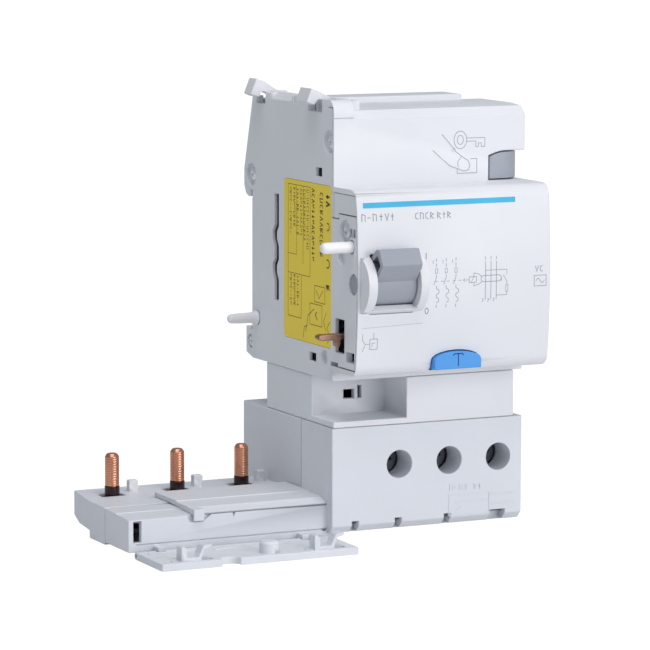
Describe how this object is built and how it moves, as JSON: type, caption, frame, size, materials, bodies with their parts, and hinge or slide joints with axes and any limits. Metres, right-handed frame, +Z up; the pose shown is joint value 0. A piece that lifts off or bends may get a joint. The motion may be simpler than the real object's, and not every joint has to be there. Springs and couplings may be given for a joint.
{
  "type": "residual_current_device",
  "caption": "Residual-current add-on block that clips beside a three-pole breaker on a 35 mm rail, with copper entry pins under it, a test button and three screw terminals.",
  "frame": {"origin": "middle of the seat for the rail's front face, on the block's mid width", "axes": "+X right, away from the breaker; +Y back, towards the rail; +Z up along the panel"},
  "size_m": [0.1049, 0.0721, 0.1113],
  "materials": {
    "housing_plastic": "fine moulded texture",
    "rating_label_film": "printed film",
    "handle_plastic": "satin moulding",
    "test_button_plastic": "satin moulding",
    "copper": "bright drawn copper",
    "zinc_plated_steel": "zinc plated",
    "brass": "turned brass",
    "black_sleeve_plastic": "satin",
    "white_rod_plastic": "smooth moulding",
    "toroid_core_alloy": "wound tape core",
    "beige_plastic": "moulded",
    "circuit_board": "solder resist",
    "capacitor_blue": "sleeved can"
  },
  "bodies": {
    "base": {"case_screw_1": "zinc_plated_steel", "case_screw_2": "zinc_plated_steel", "case_screw_3": "zinc_plated_steel", "case_screw_4": "zinc_plated_steel", "circuit_board": "circuit_board", "filter_capacitor": "capacitor_blue", "flap_hinge_pin": "zinc_plated_steel", "front_locating_rod": "white_rod_plastic", "latch_shaft": "zinc_plated_steel", "line_pin_1": "copper", "line_pin_2": "copper", "line_pin_3": "copper", "main_housing": "housing_plastic", "mechanism_spring": "zinc_plated_steel", "neck_housing": "housing_plastic", "phase_conductor_1": "black_sleeve_plastic", "phase_conductor_2": "black_sleeve_plastic", "phase_conductor_3": "black_sleeve_plastic", "pin_sleeve_1": "black_sleeve_plastic", "pin_sleeve_2": "black_sleeve_plastic", "pin_sleeve_3": "black_sleeve_plastic", "platform_plate": "housing_plastic", "rating_label": "rating_label_film", "rear_locating_rod": "white_rod_plastic", "relay_case": "black_sleeve_plastic", "sense_winding": "copper", "side_cover": "housing_plastic", "terminal_bar_1": "copper", "terminal_bar_2": "copper", "terminal_bar_3": "copper", "terminal_front_cover": "housing_plastic", "terminal_rear_housing": "housing_plastic", "test_contact_leaf": "brass", "test_resistor": "beige_plastic", "toroid_carrier": "beige_plastic", "toroid_core": "toroid_core_alloy", "toroid_lid": "beige_plastic", "trip_lever_pin": "zinc_plated_steel", "varistor": "beige_plastic"},
    "flap": {"terminal_flap": "housing_plastic"},
    "toggle": {"toggle_lever": "handle_plastic"},
    "trip_link": {"trip_link": "copper"},
    "trip_lever": {"trip_lever": "handle_plastic"},
    "relay_plunger": {"relay_plunger": "brass"},
    "test_button": {"test_button": "test_button_plastic"},
    "lock_button": {"lock_button": "handle_plastic"},
    "lock_link": {"lock_link": "handle_plastic"},
    "latch": {"latch_bar": "housing_plastic"},
    "terminal_screw_1": {"terminal_screw_1": "zinc_plated_steel"},
    "terminal_cage_1": {"terminal_cage_1": "zinc_plated_steel"},
    "terminal_screw_2": {"terminal_screw_2": "zinc_plated_steel"},
    "terminal_cage_2": {"terminal_cage_2": "zinc_plated_steel"},
    "terminal_screw_3": {"terminal_screw_3": "zinc_plated_steel"},
    "terminal_cage_3": {"terminal_cage_3": "zinc_plated_steel"}
  },
  "joints": [
    {"name": "toggle_turn", "type": "hinge", "parent": "base", "child": "toggle", "pos_m": [-0.01725, -0.0579, -0.0002], "axis": [1, 0, 0], "range_deg": [0, 70]},
    {"name": "trip_link_slide", "type": "slide", "parent": "base", "child": "trip_link", "axis": [0, 0, -1], "range_m": [0, 0.0024]},
    {"name": "trip_lever_turn", "type": "hinge", "parent": "base", "child": "trip_lever", "pos_m": [-0.01905, -0.047, -0.0015], "axis": [1, 0, 0], "range_deg": [0, 8]},
    {"name": "relay_plunger_slide", "type": "slide", "parent": "base", "child": "relay_plunger", "axis": [-1, 0, 0], "range_m": [0, 0.0015]},
    {"name": "test_press", "type": "slide", "parent": "base", "child": "test_button", "axis": [0, 1, 0], "range_m": [0, 0.002], "stiffness_N_per_m": 300},
    {"name": "lock_press", "type": "slide", "parent": "base", "child": "lock_button", "axis": [0, 1, 0], "range_m": [0, 0.003]},
    {"name": "lock_link_slide", "type": "slide", "parent": "base", "child": "lock_link", "axis": [-1, 0, 0], "range_m": [0, 0.003]},
    {"name": "latch_turn", "type": "hinge", "parent": "base", "child": "latch", "pos_m": [-0.01935, -0.02, 0.041], "axis": [0, -1, 0], "range_deg": [0, 21.6]},
    {"name": "flap_turn", "type": "hinge", "parent": "base", "child": "flap", "pos_m": [-0.05215, -0.046, -0.064], "axis": [-1, 0, 0], "range_deg": [0, 90]},
    {"name": "terminal_screw_1_turn", "type": "hinge", "parent": "base", "child": "terminal_screw_1", "pos_m": [-0.00785, -0.04, -0.0466], "axis": [0, 1, 0], "range_deg": [0, 1234]},
    {"name": "terminal_cage_1_slide", "type": "slide", "parent": "base", "child": "terminal_cage_1", "axis": [0, -1, 0], "range_m": [0, 0.0024]},
    {"name": "terminal_screw_2_turn", "type": "hinge", "parent": "base", "child": "terminal_screw_2", "pos_m": [0.00595, -0.04, -0.0466], "axis": [0, 1, 0], "range_deg": [0, 1234]},
    {"name": "terminal_cage_2_slide", "type": "slide", "parent": "base", "child": "terminal_cage_2", "axis": [0, -1, 0], "range_m": [0, 0.0024]},
    {"name": "terminal_screw_3_turn", "type": "hinge", "parent": "base", "child": "terminal_screw_3", "pos_m": [0.01965, -0.04, -0.0466], "axis": [0, 1, 0], "range_deg": [0, 1234]},
    {"name": "terminal_cage_3_slide", "type": "slide", "parent": "base", "child": "terminal_cage_3", "axis": [0, -1, 0], "range_m": [0, 0.0024]}
  ],
  "couplings": [
    {"joint": "toggle_turn", "follows": "trip_link_slide", "rad_per_m": 509},
    {"joint": "trip_lever_turn", "follows": "trip_link_slide", "rad_per_m": 58.17},
    {"joint": "relay_plunger_slide", "follows": "trip_link_slide", "ratio": 0.62},
    {"joint": "lock_link_slide", "follows": "lock_press", "ratio": 1},
    {"joint": "latch_turn", "follows": "lock_press", "rad_per_m": 125.6},
    {"joint": "terminal_screw_1_turn", "follows": "terminal_cage_1_slide", "rad_per_m": 8970},
    {"joint": "terminal_screw_2_turn", "follows": "terminal_cage_2_slide", "rad_per_m": 8970},
    {"joint": "terminal_screw_3_turn", "follows": "terminal_cage_3_slide", "rad_per_m": 8970}
  ]
}
